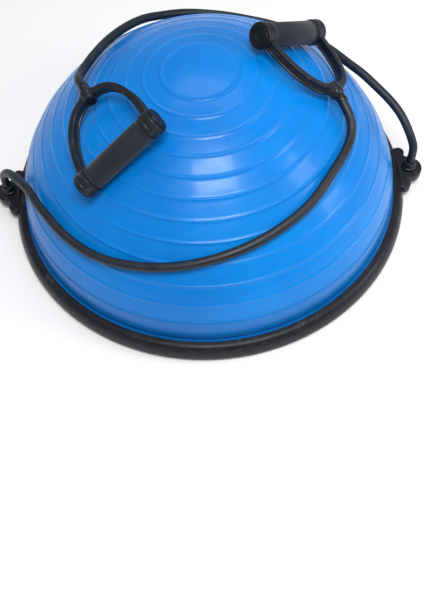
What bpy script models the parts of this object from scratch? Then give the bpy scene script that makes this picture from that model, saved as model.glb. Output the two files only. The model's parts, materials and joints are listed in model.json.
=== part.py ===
# Balance dome trainer: an inflated half ball on a round base, with two pull tubes and D handles.
# The row's origin is the centre of the base where it meets the floor. +X runs from lug to lug.
import math

import bpy
from mathutils import Matrix, Vector

MM = 0.001
SHARP_EDGE_DEGREES = 32

# ---- base platform
PLATFORM_RADIUS = 290 * MM
PLATFORM_BOTTOM = 5.8 * MM
PLATFORM_TOP = 20.0 * MM
PLATFORM_CHAMFER = 1.0 * MM
VALVE_WELL_RADIUS = 13.0 * MM
RECESS_DEPTH = 3.0 * MM
RECESS_BANDS = ((50 * MM, 132 * MM), (140 * MM, 226 * MM))
RECESS_COUNT = 12
RECESS_RIB_WIDTH = 7.0 * MM
RECESS_ARC_STEPS = 4

# ---- retaining ring, outline in (radius, height)
RING_STEPS = 64
RING_OUTLINE = (
    (0.2832, 0.0282), (0.2880, 0.0282), (0.2930, 0.0255), (0.2968, 0.0205), (0.2992, 0.0140),
    (0.3000, 0.0075), (0.2978, 0.0035), (0.2740, 0.0035),
    (0.2740, 0.0055), (0.2905, 0.0055), (0.2905, 0.0240), (0.2832, 0.0240),
)
LUG_GAP = 0.35 * MM

# ---- inflated dome
DOME_STEPS = 48
DOME_HEIGHT = 250 * MM
DOME_RADIUS = 279 * MM
DOME_EQUATOR = 32 * MM
DOME_TOP_PULL = 126 * MM
DOME_SIDE_PULL = 136 * MM
DOME_CURVE_SAMPLES = 400
SKIN = 2.2 * MM
DOME_OUTER_POINTS = 18
DOME_INNER_POINTS = 9
TUCK_OUTLINE = ((0.2786, 0.0290), (0.2772, 0.0262), (0.2768, 0.0237))
BEAD_RADIUS = 290 * MM
BEAD_TOP = 23.7 * MM
BLADDER_BOTTOM = 20.3 * MM
BLADDER_HOLE = 8.8 * MM

# ---- valve in the middle of the underside
VALVE_STEPS = 16
SEAT_OUTLINE = (
    (0.0045, 0.0105), (0.0085, 0.0105), (0.0085, 0.0229), (0.0150, 0.0229), (0.0150, 0.0248),
    (0.0045, 0.0248),
)
PLUG_OUTLINE = (
    (0.0, 0.0078), (0.0070, 0.0078), (0.0078, 0.0086), (0.0078, 0.0102), (0.0042, 0.0102),
    (0.0042, 0.0238), (0.0036, 0.0246), (0.0, 0.0246),
)

# ---- feet and ring screws under the base
FOOT_COUNT = 8
FOOT_CIRCLE = 249 * MM
FOOT_START = 22.5
FOOT_STEPS = 12
FOOT_OUTLINE = (
    (0.0, 0.0), (0.0110, 0.0), (0.0122, 0.0012), (0.0122, 0.0055), (0.0040, 0.0055),
    (0.0040, 0.0105), (0.0, 0.0105),
)
FOOT_HOLE_RADIUS = 4.4 * MM
FOOT_HOLE_TOP = 11.0 * MM
SCREW_COUNT = 8
SCREW_CIRCLE = 282 * MM
SCREW_START = 0.0
SCREW_STEPS = 8
SCREW_OUTLINE = (
    (0.0, 0.0022), (0.0015, 0.0022), (0.0017, 0.0014), (0.0040, 0.0017), (0.0040, 0.0032),
    (0.0020, 0.0032), (0.0020, 0.0140), (0.0, 0.0140),
)
SCREW_HOLE_RADIUS = 2.4 * MM
SCREW_HOLE_TOP = 15.0 * MM

# ---- anchor lugs on the ring, left and right
LUG_BOTTOM = 12.0 * MM
LUG_TOP = 25.5 * MM
LUG_INNER_RADIUS = 291.6 * MM
EYE_DISTANCE = 310 * MM
EYE_HOLE_RADIUS = 8.4 * MM
LUG_LOBE_RADIUS = 20 * MM
LUG_LOBE_SWEEP = 82
LUG_INNER_SWEEP = 7.4
LUG_ARC_STEPS = 6
LUG_SADDLE_STEPS = 3
SIDE_LOBE_X = 299 * MM
SIDE_LOBE_Y = 31 * MM
SIDE_LOBE_RADIUS = 9.0 * MM
SIDE_LOBE_SWEEP = (-95, 32)
LUG_VALLEY = (306.8 * MM, 22.4 * MM)
LUG_EDGE = 1.6 * MM
LUG_EDGE_SEGMENTS = 2
LUG_EDGE_DEGREES = 60
MITRE_LIMIT = 0.4
LUG_SCREW_Z = 18.6 * MM
LUG_SCREW_OUTLINE = (
    (0.0, 0.3057), (0.0013, 0.3057), (0.0015, 0.3066), (0.0034, 0.3062), (0.0034, 0.3047),
    (0.0016, 0.3047), (0.0016, 0.2900), (0.0, 0.2900),
)
LUG_COUNTERBORE = (3.8 * MM, 304.3 * MM, 330 * MM)
LUG_SCREW_BORE = (2.0 * MM, 289.0 * MM, 312 * MM)

# ---- collars and stops that hold the pull tubes in the lugs
COLLAR_STEPS = 16
COLLAR_OUTLINE = (
    (0.0, 0.0119), (0.0080, 0.0119), (0.0080, 0.0259), (0.0108, 0.0259), (0.0114, 0.0268),
    (0.0112, 0.0300), (0.0092, 0.0330), (0.0088, 0.0385), (0.0080, 0.0395), (0.0, 0.0395),
)
STOP_OUTLINE = (
    (0.0, 0.0040), (0.0056, 0.0044), (0.0088, 0.0064), (0.0096, 0.0090), (0.0094, 0.0115),
    (0.0, 0.0115),
)

# ---- pull tubes: centre line points in millimetres, from the lug to the handle
TUBE_DIAMETER = 12.5 * MM
TUBE_POINT_SPACING = 25 * MM
TUBE_END_STUB = 4 * MM
TUBE_BEVEL_STEPS = 3
SPLINE_SUBSTEPS = 24
FRONT_TUBE_ROUTE = (
    (-310, 0, 40), (-310, 0, 48), (-309, -1, 56), (-305, -5, 69), (-294, -16, 85), (-278, -36, 99),
    (-254, -69, 111), (-229, -113, 123), (-188, -168, 127), (-139, -207, 131), (-75, -230, 140),
    (-10, -233, 150), (59, -215, 160), (124, -174, 170), (170, -114, 177), (189, -80, 178),
    (195, -60, 183), (193, -45, 193),
)
BACK_TUBE_ROUTE = (
    (310, 0, 40), (310, 0, 48), (310, 0, 56), (309, 4, 70), (301, 18, 88), (290, 38, 102),
    (276, 58, 111), (258, 79, 119), (239, 99, 127), (223, 119, 128), (202, 156, 122),
    (180, 192, 113), (148, 221, 108), (114, 240, 109), (81, 249, 113), (41, 252, 122),
    (2, 251, 130), (-27, 243, 139), (-55, 226, 151), (-83, 201, 167), (-106, 167, 183),
    (-128, 127, 197), (-146, 88, 206), (-158, 57, 211), (-163, 33, 218), (-161, 12, 229),
)

# ---- D handles: hub pivot, direction from hub to grip, and direction along the grip
LEFT_HUB = (-147.4 * MM, -19.9 * MM, 234.4 * MM)
LEFT_REACH = (0.397, -0.916, -0.060)
LEFT_ALONG = (0.777, 0.301, 0.553)
RIGHT_HUB = (177.6 * MM, -17.1 * MM, 208.0 * MM)
RIGHT_REACH = (-0.521, 0.821, 0.235)
RIGHT_ALONG = (-0.670, -0.563, 0.484)
TUBE_END_GAP = 0.4 * MM
GRIP_DISTANCE = 107 * MM
GRIP_STEPS = 20
COLLAR_INNER = 48.5 * MM
COLLAR_OUTER = 64.5 * MM
COLLAR_RADIUS = 17.5 * MM
COLLAR_BORE = 11.4 * MM
COLLAR_CHAMFER = 1.2 * MM
CORE_RADIUS = 11.0 * MM
CORE_BORE = 7.0 * MM
CORE_HALF = 64.2 * MM
SLEEVE_RADIUS = 16.0 * MM
SLEEVE_BORE = 11.35 * MM
SLEEVE_HALF = 48.0 * MM
SLEEVE_ROUND = 1.6 * MM
CAP_OUTLINE = (
    (0.0, 0.0560), (0.0060, 0.0560), (0.0066, 0.0568), (0.0066, 0.0648), (0.0150, 0.0648),
    (0.0150, 0.0662), (0.0136, 0.0675), (0.0, 0.0675),
)
ARM_HALF_SPAN = 56.5 * MM
ARM_START = 6.5 * MM
ARM_END = GRIP_DISTANCE - 14.5 * MM
ARM_STEPS = 20
ARM_ROUNDNESS = 0.80
ARM_SECTION = (
    (0.0045, -0.0045), (0.0032, -0.0034), (0.0032, 0.0034), (0.0045, 0.0045), (0.0038, 0.0068),
    (-0.0038, 0.0068), (-0.0045, 0.0045), (-0.0032, 0.0034), (-0.0032, -0.0034), (-0.0045, -0.0045),
    (-0.0038, -0.0068), (0.0038, -0.0068),
)
HUB_STEPS = 16
HUB_BALL = 10.0 * MM
HUB_BALL_STEPS = 6
HUB_BALL_START = -90
HUB_BALL_SWEEP = 110
HUB_BOSS_OUTLINE = ((0.0092, 0.0100), (0.0092, 0.0125), (0.0082, 0.0134), (0.0, 0.0134))
HUB_POCKET_RADIUS = 6.0 * MM
HUB_POCKET_START = 5.0 * MM
HUB_POCKET_END = 60 * MM
HUB_PLUG_OUTLINE = (
    (0.0, 0.0053), (0.0040, 0.0053), (0.0052, 0.0070), (0.0056, 0.0090), (0.0050, 0.0112),
    (0.0030, 0.0124), (0.0, 0.0128),
)
SHOULDER_HALF_THICKNESS = 5.6 * MM
SHOULDER_OUTLINE = (
    (-0.0055, 0.0070), (-0.0015, 0.0100), (0.0020, 0.0140), (0.0055, 0.0200), (0.0086, 0.0190),
    (0.0065, 0.0080),
)

# ---- base colours (red, green, blue), roughness
COLOURS = {
    "platform_plastic": ((0.018, 0.019, 0.021), 0.55),
    "dome_vinyl": ((0.012, 0.260, 0.780), 0.25),
    "ring_plastic": ((0.020, 0.022, 0.027), 0.45),
    "valve_rubber": ((0.030, 0.030, 0.032), 0.60),
    "foot_rubber": ((0.025, 0.025, 0.026), 0.80),
    "screw_steel": ((0.520, 0.520, 0.530), 0.35),
    "lug_plastic": ((0.022, 0.024, 0.028), 0.45),
    "collar_plastic": ((0.026, 0.028, 0.033), 0.35),
    "tube_rubber": ((0.021, 0.026, 0.034), 0.50),
    "handle_plastic": ((0.024, 0.028, 0.036), 0.40),
    "grip_foam": ((0.026, 0.030, 0.038), 0.75),
    "cap_plastic": ((0.020, 0.022, 0.026), 0.40),
    "plug_plastic": ((0.018, 0.018, 0.020), 0.40),
}


def clear_scene():
    for item in list(bpy.data.objects):
        bpy.data.objects.remove(item, do_unlink=True)


def material(name):
    found = bpy.data.materials.get(name)
    if found:
        return found
    colour, roughness = COLOURS[name]
    made = bpy.data.materials.new(name)
    made.use_nodes = True
    shader = made.node_tree.nodes["Principled BSDF"]
    shader.inputs["Base Color"].default_value = (*colour, 1.0)
    shader.inputs["Roughness"].default_value = roughness
    made.diffuse_color = (*colour, 1.0)
    return made


def mesh_object(name, points, faces, slot=None, smooth=True, matrix=None):
    mesh = bpy.data.meshes.new(name)
    mesh.from_pydata([tuple(point) for point in points], [], [tuple(face) for face in faces])
    mesh.validate()
    made = bpy.data.objects.new(name, mesh)
    bpy.context.scene.collection.objects.link(made)
    if slot:
        mesh.materials.append(material(slot))
    if smooth:
        mesh.shade_smooth()
        mesh.set_sharp_from_angle(angle=math.radians(SHARP_EDGE_DEGREES))
    if matrix is not None:
        made.matrix_world = matrix
    return made


def as_cutter(cutter):
    cutter.hide_render = True
    cutter.display_type = "WIRE"
    return cutter


def boolean(target, cutter, operation):
    as_cutter(cutter)
    step = target.modifiers.new(operation.lower() + "_" + cutter.name, "BOOLEAN")
    step.object = cutter
    step.operation = operation
    step.solver = "EXACT"


def lathe(outline, steps, closed):
    # Turns an outline of (radius, height) about Z. An open outline starts and ends on the axis.
    points = []
    rows = []
    for radius, height in outline:
        if radius == 0.0:
            rows.append([len(points)] * steps)
            points.append((0.0, 0.0, height))
            continue
        row = []
        for step in range(steps):
            angle = 2 * math.pi * step / steps
            row.append(len(points))
            points.append((radius * math.cos(angle), radius * math.sin(angle), height))
        rows.append(row)
    faces = []
    pairs = len(rows) if closed else len(rows) - 1
    for index in range(pairs):
        low = rows[index]
        high = rows[(index + 1) % len(rows)]
        for step in range(steps):
            after = (step + 1) % steps
            face = []
            for corner in (low[step], low[after], high[after], high[step]):
                if corner not in face:
                    face.append(corner)
            if len(face) > 2:
                faces.append(face)
    return facing_out(points, faces)


def facing_out(points, faces):
    # The signed volume of a closed shape says which way its faces turn.
    volume = 0.0
    for face in faces:
        first = Vector(points[face[0]])
        for index in range(1, len(face) - 1):
            volume += first.dot(Vector(points[face[index]]).cross(Vector(points[face[index + 1]])))
    if volume > 0:
        return points, faces
    return points, [list(reversed(face)) for face in faces]


def turned(name, outline, steps, slot=None, closed=False, matrix=None):
    points, faces = lathe(outline, steps, closed)
    return mesh_object(name, points, faces, slot, matrix=matrix)


def prism(outline, low, high):
    # Extrudes an outline of (x, y) from height low to height high.
    count = len(outline)
    points = [(x, y, low) for x, y in outline] + [(x, y, high) for x, y in outline]
    faces = [list(range(count - 1, -1, -1)), list(range(count, 2 * count))]
    for index in range(count):
        after = (index + 1) % count
        faces.append([index, after, count + after, count + index])
    return facing_out(points, faces)


def merged(shapes):
    points = []
    faces = []
    for shape_points, shape_faces in shapes:
        start = len(points)
        points.extend(shape_points)
        faces.extend([[start + corner for corner in face] for face in shape_faces])
    return points, faces


def moved(shape, matrix):
    points, faces = shape
    return [tuple(matrix @ Vector(point)) for point in points], faces


def circle(radius, steps):
    turn = 2 * math.pi / steps
    return [(radius * math.cos(turn * i), radius * math.sin(turn * i)) for i in range(steps)]


def around(count, distance, start_degrees):
    # Places on a circle, as (x, y).
    places = []
    for index in range(count):
        angle = math.radians(start_degrees) + 2 * math.pi * index / count
        places.append((distance * math.cos(angle), distance * math.sin(angle)))
    return places


# ---------------------------------------------------------------- base


def post(radius, steps, low, high, place):
    shape = prism(circle(radius, steps), low, high)
    return moved(shape, Matrix.Translation((place[0], place[1], 0.0)))


def recess_sector(inner, outer, index):
    # One shallow pocket of the underside, between two straight ribs.
    half_rib = RECESS_RIB_WIDTH / 2
    pitch = 2 * math.pi / RECESS_COUNT
    outline = []
    for radius, way in ((outer, 1), (inner, -1)):
        margin = math.asin(half_rib / radius)
        first = index * pitch + margin
        last = (index + 1) * pitch - margin
        angles = [first + (last - first) * i / RECESS_ARC_STEPS for i in range(RECESS_ARC_STEPS + 1)]
        for angle in angles[::way]:
            outline.append((radius * math.cos(angle), radius * math.sin(angle)))
    return prism(outline, PLATFORM_BOTTOM - MM, PLATFORM_BOTTOM + RECESS_DEPTH)


def build_platform():
    outline = (
        (VALVE_WELL_RADIUS, PLATFORM_BOTTOM + PLATFORM_CHAMFER),
        (VALVE_WELL_RADIUS + PLATFORM_CHAMFER, PLATFORM_BOTTOM),
        (PLATFORM_RADIUS - PLATFORM_CHAMFER, PLATFORM_BOTTOM),
        (PLATFORM_RADIUS, PLATFORM_BOTTOM + PLATFORM_CHAMFER),
        (PLATFORM_RADIUS, PLATFORM_TOP),
        (VALVE_WELL_RADIUS, PLATFORM_TOP),
    )
    platform = turned("base_platform", outline, RING_STEPS, "platform_plastic", closed=True)
    shapes = []
    for inner, outer in RECESS_BANDS:
        for index in range(RECESS_COUNT):
            shapes.append(recess_sector(inner, outer, index))
    for place in around(FOOT_COUNT, FOOT_CIRCLE, FOOT_START):
        shapes.append(post(FOOT_HOLE_RADIUS, FOOT_STEPS, PLATFORM_BOTTOM - MM, FOOT_HOLE_TOP, place))
    for place in around(SCREW_COUNT, SCREW_CIRCLE, SCREW_START):
        shapes.append(post(SCREW_HOLE_RADIUS, SCREW_STEPS, PLATFORM_BOTTOM - MM, SCREW_HOLE_TOP, place))
    cutter = mesh_object("platform_cutter", *merged(shapes))
    boolean(platform, cutter, "DIFFERENCE")


def sideways_cylinder(bore, y, z, side):
    # A cylinder lying along X, for a lug screw.
    radius, near, far = bore
    lay = Matrix.Rotation(math.radians(90), 4, "Y")
    shape = moved(prism(circle(radius, SCREW_STEPS), near, far), lay)
    shape = moved(shape, Matrix.Translation((0.0, y, z)))
    return moved(shape, turn_about_z(side))


def turn_about_z(side):
    return Matrix.Rotation(0.0 if side > 0 else math.pi, 4, "Z")


def build_ring():
    ring = turned("retaining_ring", RING_OUTLINE, RING_STEPS, "ring_plastic", closed=True)
    shapes = []
    for place in around(SCREW_COUNT, SCREW_CIRCLE, SCREW_START):
        shapes.append(post(SCREW_HOLE_RADIUS, SCREW_STEPS, 0.0, PLATFORM_BOTTOM + MM, place))
    for side in (1, -1):
        for y in (SIDE_LOBE_Y, -SIDE_LOBE_Y):
            shapes.append(sideways_cylinder(LUG_SCREW_BORE, y, LUG_SCREW_Z, side))
    cutter = mesh_object("ring_cutter", *merged(shapes))
    boolean(ring, cutter, "DIFFERENCE")


def build_feet_and_screws():
    for index, place in enumerate(around(FOOT_COUNT, FOOT_CIRCLE, FOOT_START)):
        matrix = Matrix.Translation((place[0], place[1], 0.0))
        turned(f"rubber_foot_{index + 1}", FOOT_OUTLINE, FOOT_STEPS, "foot_rubber", matrix=matrix)
    for index, place in enumerate(around(SCREW_COUNT, SCREW_CIRCLE, SCREW_START)):
        matrix = Matrix.Translation((place[0], place[1], 0.0))
        turned(f"ring_screw_{index + 1}", SCREW_OUTLINE, SCREW_STEPS, "screw_steel", matrix=matrix)


# ---------------------------------------------------------------- dome


def dome_curve():
    # Points of the smooth dome from the top to the widest place, with the length along it.
    corners = (
        Vector((0.0, DOME_HEIGHT)), Vector((DOME_TOP_PULL, DOME_HEIGHT)),
        Vector((DOME_RADIUS, DOME_SIDE_PULL)), Vector((DOME_RADIUS, DOME_EQUATOR)),
    )
    samples = []
    length = 0.0
    before = None
    for index in range(DOME_CURVE_SAMPLES + 1):
        t = index / DOME_CURVE_SAMPLES
        u = 1 - t
        point = (
            u**3 * corners[0] + 3 * u * u * t * corners[1]
            + 3 * u * t * t * corners[2] + t**3 * corners[3]
        )
        slope = (
            u * u * (corners[1] - corners[0]) + 2 * u * t * (corners[2] - corners[1])
            + t * t * (corners[3] - corners[2])
        )
        slope.normalize()
        outward = Vector((-slope.y, slope.x))
        if before is not None:
            length += (point - before).length
        samples.append((length, point, outward))
        before = point
    return samples


def on_dome(samples, length, height):
    # The dome's outline point at a length from the top, raised by height.
    for index in range(1, len(samples)):
        if samples[index][0] >= length:
            break
    start, start_point, start_out = samples[index - 1]
    end, end_point, end_out = samples[index]
    share = (length - start) / (end - start)
    point = start_point.lerp(end_point, share)
    outward = start_out.lerp(end_out, share).normalized()
    raised = point + outward * height
    return (max(raised.x, 0.0), raised.y)


def build_bladder():
    samples = dome_curve()
    total = samples[-1][0]
    outline = [(0.0, DOME_HEIGHT)]
    for index in range(1, DOME_OUTER_POINTS):
        outline.append(on_dome(samples, total * index / DOME_OUTER_POINTS, 0.0))
    outline.append((DOME_RADIUS, DOME_EQUATOR))
    outline.extend(TUCK_OUTLINE)
    outline.append((BEAD_RADIUS, BEAD_TOP))
    outline.append((BEAD_RADIUS, BLADDER_BOTTOM))
    outline.append((BLADDER_HOLE, BLADDER_BOTTOM))
    outline.append((BLADDER_HOLE, BLADDER_BOTTOM + SKIN))
    outline.append((TUCK_OUTLINE[-1][0] - SKIN, BLADDER_BOTTOM + SKIN))
    for radius, height in reversed(TUCK_OUTLINE[:-1]):
        outline.append((radius - SKIN, height))
    for index in range(DOME_INNER_POINTS, 0, -1):
        outline.append(on_dome(samples, total * index / DOME_INNER_POINTS, -SKIN))
    outline.append((0.0, DOME_HEIGHT - SKIN))
    turned("dome_bladder", outline, DOME_STEPS, "dome_vinyl")


def build_valve():
    turned("valve_seat", SEAT_OUTLINE, VALVE_STEPS, "valve_rubber", closed=True)
    turned("valve_plug", PLUG_OUTLINE, VALVE_STEPS, "plug_plastic")


# ---------------------------------------------------------------- lugs


def arc(centre, radius, start, end, steps):
    points = []
    for index in range(steps + 1):
        angle = math.radians(start + (end - start) * index / steps)
        points.append((centre[0] + radius * math.cos(angle), centre[1] + radius * math.sin(angle)))
    return points


def lug_outline():
    # Three round lobes, closed by an arc that lies inside the ring's wall.
    valley_x, valley_y = LUG_VALLEY
    start, end = SIDE_LOBE_SWEEP
    outline = arc((SIDE_LOBE_X, -SIDE_LOBE_Y), SIDE_LOBE_RADIUS, start, end, LUG_ARC_STEPS)
    outline.append((valley_x, -valley_y))
    sweep = LUG_LOBE_SWEEP
    outline.extend(arc((EYE_DISTANCE, 0.0), LUG_LOBE_RADIUS, -sweep, sweep, 2 * LUG_ARC_STEPS))
    outline.append((valley_x, valley_y))
    outline.extend(arc((SIDE_LOBE_X, SIDE_LOBE_Y), SIDE_LOBE_RADIUS, -end, -start, LUG_ARC_STEPS))
    outline.extend(arc((0.0, 0.0), LUG_INNER_RADIUS, LUG_INNER_SWEEP, -LUG_INNER_SWEEP, LUG_ARC_STEPS))
    return outline


def outline_grown(outline, distance):
    # The closed outline moved outward by a distance.
    points = [Vector(point) for point in outline]
    grown = []
    for index, point in enumerate(points):
        before = (point - points[index - 1]).normalized()
        after = (points[(index + 1) % len(points)] - point).normalized()
        first = Vector((before.y, -before.x))
        second = Vector((after.y, -after.x))
        middle = (first + second).normalized()
        grown.append(point - middle * (distance / max(middle.dot(first), MITRE_LIMIT)))
    return [tuple(point) for point in grown]


def ring_sector(distance, half_steps):
    # A piece of the ring, grown by a distance, on the +X side.
    section = outline_grown(RING_OUTLINE, distance)
    count = len(section)
    points = []
    for step in range(-half_steps, half_steps + 1):
        angle = 2 * math.pi * step / RING_STEPS
        for radius, height in section:
            points.append((radius * math.cos(angle), radius * math.sin(angle), height))
    faces = [list(range(count)), list(range(len(points) - 1, len(points) - count - 1, -1))]
    for step in range(2 * half_steps):
        start = step * count
        for index in range(count):
            after = (index + 1) % count
            faces.append([start + after, start + index, start + count + index, start + count + after])
    return facing_out(points, faces)


def build_lug(side, word):
    turn = turn_about_z(side)
    shape = moved(prism(lug_outline(), LUG_BOTTOM, LUG_TOP), turn)
    plate = mesh_object(f"anchor_lug_{word}", *shape, "lug_plastic")
    edge = plate.modifiers.new("rounded_edges", "BEVEL")
    edge.width = LUG_EDGE
    edge.segments = LUG_EDGE_SEGMENTS
    edge.limit_method = "ANGLE"
    edge.angle_limit = math.radians(LUG_EDGE_DEGREES)
    bore = post(EYE_HOLE_RADIUS, COLLAR_STEPS, LUG_BOTTOM - MM, LUG_TOP + MM, (EYE_DISTANCE, 0.0))
    boolean(plate, mesh_object(f"lug_{word}_bore", *moved(bore, turn)), "DIFFERENCE")
    sector = mesh_object(f"lug_{word}_saddle", *moved(ring_sector(LUG_GAP, LUG_SADDLE_STEPS), turn))
    boolean(plate, sector, "DIFFERENCE")
    screws = []
    for y in (SIDE_LOBE_Y, -SIDE_LOBE_Y):
        screws.append(sideways_cylinder(LUG_SCREW_BORE, y, LUG_SCREW_Z, side))
    boolean(plate, mesh_object(f"lug_{word}_screw_bores", *merged(screws)), "DIFFERENCE")
    sinks = []
    for y in (SIDE_LOBE_Y, -SIDE_LOBE_Y):
        sinks.append(sideways_cylinder(LUG_COUNTERBORE, y, LUG_SCREW_Z, side))
    boolean(plate, mesh_object(f"lug_{word}_counterbores", *merged(sinks)), "DIFFERENCE")
    for name, y in (("back", side * SIDE_LOBE_Y), ("front", -side * SIDE_LOBE_Y)):
        lay = Matrix.Rotation(math.radians(90), 4, "Y")
        matrix = turn @ Matrix.Translation((0.0, y, LUG_SCREW_Z)) @ lay
        turned(f"lug_screw_{word}_{name}", LUG_SCREW_OUTLINE, SCREW_STEPS, "screw_steel", matrix=matrix)
    at_eye = Matrix.Translation((side * EYE_DISTANCE, 0.0, 0.0))
    turned(f"anchor_collar_{word}", COLLAR_OUTLINE, COLLAR_STEPS, "collar_plastic", matrix=at_eye)
    turned(f"anchor_stop_{word}", STOP_OUTLINE, COLLAR_STEPS, "plug_plastic", matrix=at_eye)


# ---------------------------------------------------------------- pull tubes


def smooth_route(points):
    # A curve through the route points, read off at even steps along its length.
    points = [2 * points[0] - points[1]] + points + [2 * points[-1] - points[-2]]
    fine = []
    for index in range(1, len(points) - 2):
        a, b, c, d = points[index - 1:index + 3]
        for step in range(SPLINE_SUBSTEPS):
            t = step / SPLINE_SUBSTEPS
            curve = (
                2 * b + (c - a) * t + (2 * a - 5 * b + 4 * c - d) * t * t
                + (3 * b - a - 3 * c + d) * t * t * t
            )
            fine.append(curve / 2)
    fine.append(points[-2])
    lengths = [0.0]
    for index in range(1, len(fine)):
        lengths.append(lengths[-1] + (fine[index] - fine[index - 1]).length)
    count = round(lengths[-1] / TUBE_POINT_SPACING)
    stops = [lengths[-1] * index / count for index in range(count + 1)]
    stops = [0.0, TUBE_END_STUB] + stops[1:-1] + [lengths[-1] - TUBE_END_STUB, lengths[-1]]
    even = []
    place = 0
    for wanted in stops:
        while place < len(lengths) - 2 and lengths[place + 1] < wanted:
            place += 1
        share = (wanted - lengths[place]) / (lengths[place + 1] - lengths[place])
        even.append(fine[place].lerp(fine[place + 1], min(1.0, share)))
    return even


def build_tube(name, route, hub, reach):
    points = [Vector(point) * MM for point in route]
    points.append(Vector(hub) - Vector(reach).normalized() * (HUB_BALL + TUBE_END_GAP))
    points = smooth_route(points)
    curve = bpy.data.curves.new(name, "CURVE")
    curve.dimensions = "3D"
    curve.bevel_depth = TUBE_DIAMETER / 2
    curve.bevel_resolution = TUBE_BEVEL_STEPS
    curve.use_fill_caps = True
    line = curve.splines.new("POLY")
    line.points.add(len(points) - 1)
    for index, point in enumerate(points):
        line.points[index].co = (*point, 1.0)
    line.use_smooth = True
    curve.materials.append(material("tube_rubber"))
    tube = bpy.data.objects.new(name, curve)
    bpy.context.scene.collection.objects.link(tube)


# ---------------------------------------------------------------- D handles


def handle_axes(reach, along):
    along = Vector(along).normalized()
    reach = Vector(reach)
    reach = (reach - along * reach.dot(along)).normalized()
    away = reach.cross(along)
    return reach, along, away


def frame_matrix(x_axis, y_axis, z_axis, place):
    matrix = Matrix((x_axis, y_axis, z_axis)).transposed().to_4x4()
    matrix.translation = place
    return matrix


def arm_point(angle):
    x = ARM_START + (ARM_END - ARM_START) * (1 - math.cos(angle))
    y = ARM_HALF_SPAN * abs(math.sin(angle)) ** ARM_ROUNDNESS
    return Vector((x, math.copysign(y, angle)))


def arm_band():
    # The bow of the handle: a ribbed bar swept from one grip end round the hub to the other.
    quarter = math.pi / 2
    line = [arm_point(-quarter + 2 * quarter * i / ARM_STEPS) for i in range(ARM_STEPS + 1)]
    count = len(ARM_SECTION)
    points = []
    for index, place in enumerate(line):
        before = line[max(index - 1, 0)]
        after = line[min(index + 1, ARM_STEPS)]
        run = (after - before).normalized()
        if index in (0, ARM_STEPS):
            run = Vector((math.copysign(1.0, run.x), 0.0))
        out = Vector((-run.y, run.x))
        for across, depth in ARM_SECTION:
            spot = place + out * across
            points.append((spot.x, spot.y, depth))
    faces = [list(range(count)), list(range(len(points) - 1, len(points) - count - 1, -1))]
    for step in range(ARM_STEPS):
        start = step * count
        for index in range(count):
            after = (index + 1) % count
            faces.append([start + after, start + index, start + count + index, start + count + after])
    return facing_out(points, faces)


def grip_ring(side):
    # The round collar at one end of the bow that the grip's core turns in.
    inner = COLLAR_RADIUS - COLLAR_CHAMFER
    outline = (
        (COLLAR_BORE, COLLAR_INNER), (inner, COLLAR_INNER), (COLLAR_RADIUS, COLLAR_INNER + COLLAR_CHAMFER),
        (COLLAR_RADIUS, COLLAR_OUTER - COLLAR_CHAMFER), (inner, COLLAR_OUTER), (COLLAR_BORE, COLLAR_OUTER),
    )
    lay = Matrix.Translation((GRIP_DISTANCE, 0.0, 0.0)) @ Matrix.Rotation(math.radians(-90 * side), 4, "X")
    return moved(lathe(outline, GRIP_STEPS, True), lay)


def along_x(shape):
    return moved(shape, Matrix.Rotation(math.radians(90), 4, "Y"))


def hub_boss():
    ball = []
    for index in range(HUB_BALL_STEPS + 1):
        angle = math.radians(HUB_BALL_START + HUB_BALL_SWEEP * index / HUB_BALL_STEPS)
        ball.append((HUB_BALL * math.cos(angle) if index else 0.0, HUB_BALL * math.sin(angle)))
    return along_x(lathe(ball + list(HUB_BOSS_OUTLINE), HUB_STEPS, False))


def hub_shoulders():
    # The thick part that widens from the hub's round end to the back of the bow.
    outline = [(x, -y) for x, y in SHOULDER_OUTLINE]
    outline.extend(reversed(SHOULDER_OUTLINE))
    return prism(outline, -SHOULDER_HALF_THICKNESS, SHOULDER_HALF_THICKNESS)


def build_handle(word, hub, reach, along):
    reach, along, away = handle_axes(reach, along)
    matrix = frame_matrix(reach, along, away, Vector(hub))
    yoke = mesh_object(f"handle_yoke_{word}", *arm_band(), "handle_plastic", matrix=matrix)
    joins = (
        (f"yoke_{word}_rings", merged((grip_ring(1), grip_ring(-1)))),
        (f"yoke_{word}_hub", hub_boss()),
        (f"yoke_{word}_shoulders", hub_shoulders()),
    )
    for name, shape in joins:
        boolean(yoke, mesh_object(name, *shape, matrix=matrix), "UNION")
    pocket = along_x(prism(circle(HUB_POCKET_RADIUS, HUB_STEPS), HUB_POCKET_START, HUB_POCKET_END))
    boolean(yoke, mesh_object(f"yoke_{word}_pocket", *pocket, matrix=matrix), "DIFFERENCE")
    plug_frame = matrix @ Matrix.Rotation(math.radians(90), 4, "Y")
    turned(f"hub_plug_{word}", HUB_PLUG_OUTLINE, VALVE_STEPS, "plug_plastic", matrix=plug_frame)
    grip = frame_matrix(away, reach, along, Vector(hub) + reach * GRIP_DISTANCE)
    core = (
        (CORE_BORE, -CORE_HALF), (CORE_RADIUS, -CORE_HALF),
        (CORE_RADIUS, CORE_HALF), (CORE_BORE, CORE_HALF),
    )
    turned(f"grip_core_{word}", core, GRIP_STEPS, "collar_plastic", closed=True, matrix=grip)
    turned(f"grip_sleeve_{word}", sleeve_outline(), GRIP_STEPS, "grip_foam", closed=True, matrix=grip)
    turned(f"grip_cap_{word}_a", CAP_OUTLINE, GRIP_STEPS, "cap_plastic", matrix=grip)
    flip = Matrix.Rotation(math.pi, 4, "X")
    turned(f"grip_cap_{word}_b", CAP_OUTLINE, GRIP_STEPS, "cap_plastic", matrix=grip @ flip)


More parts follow.
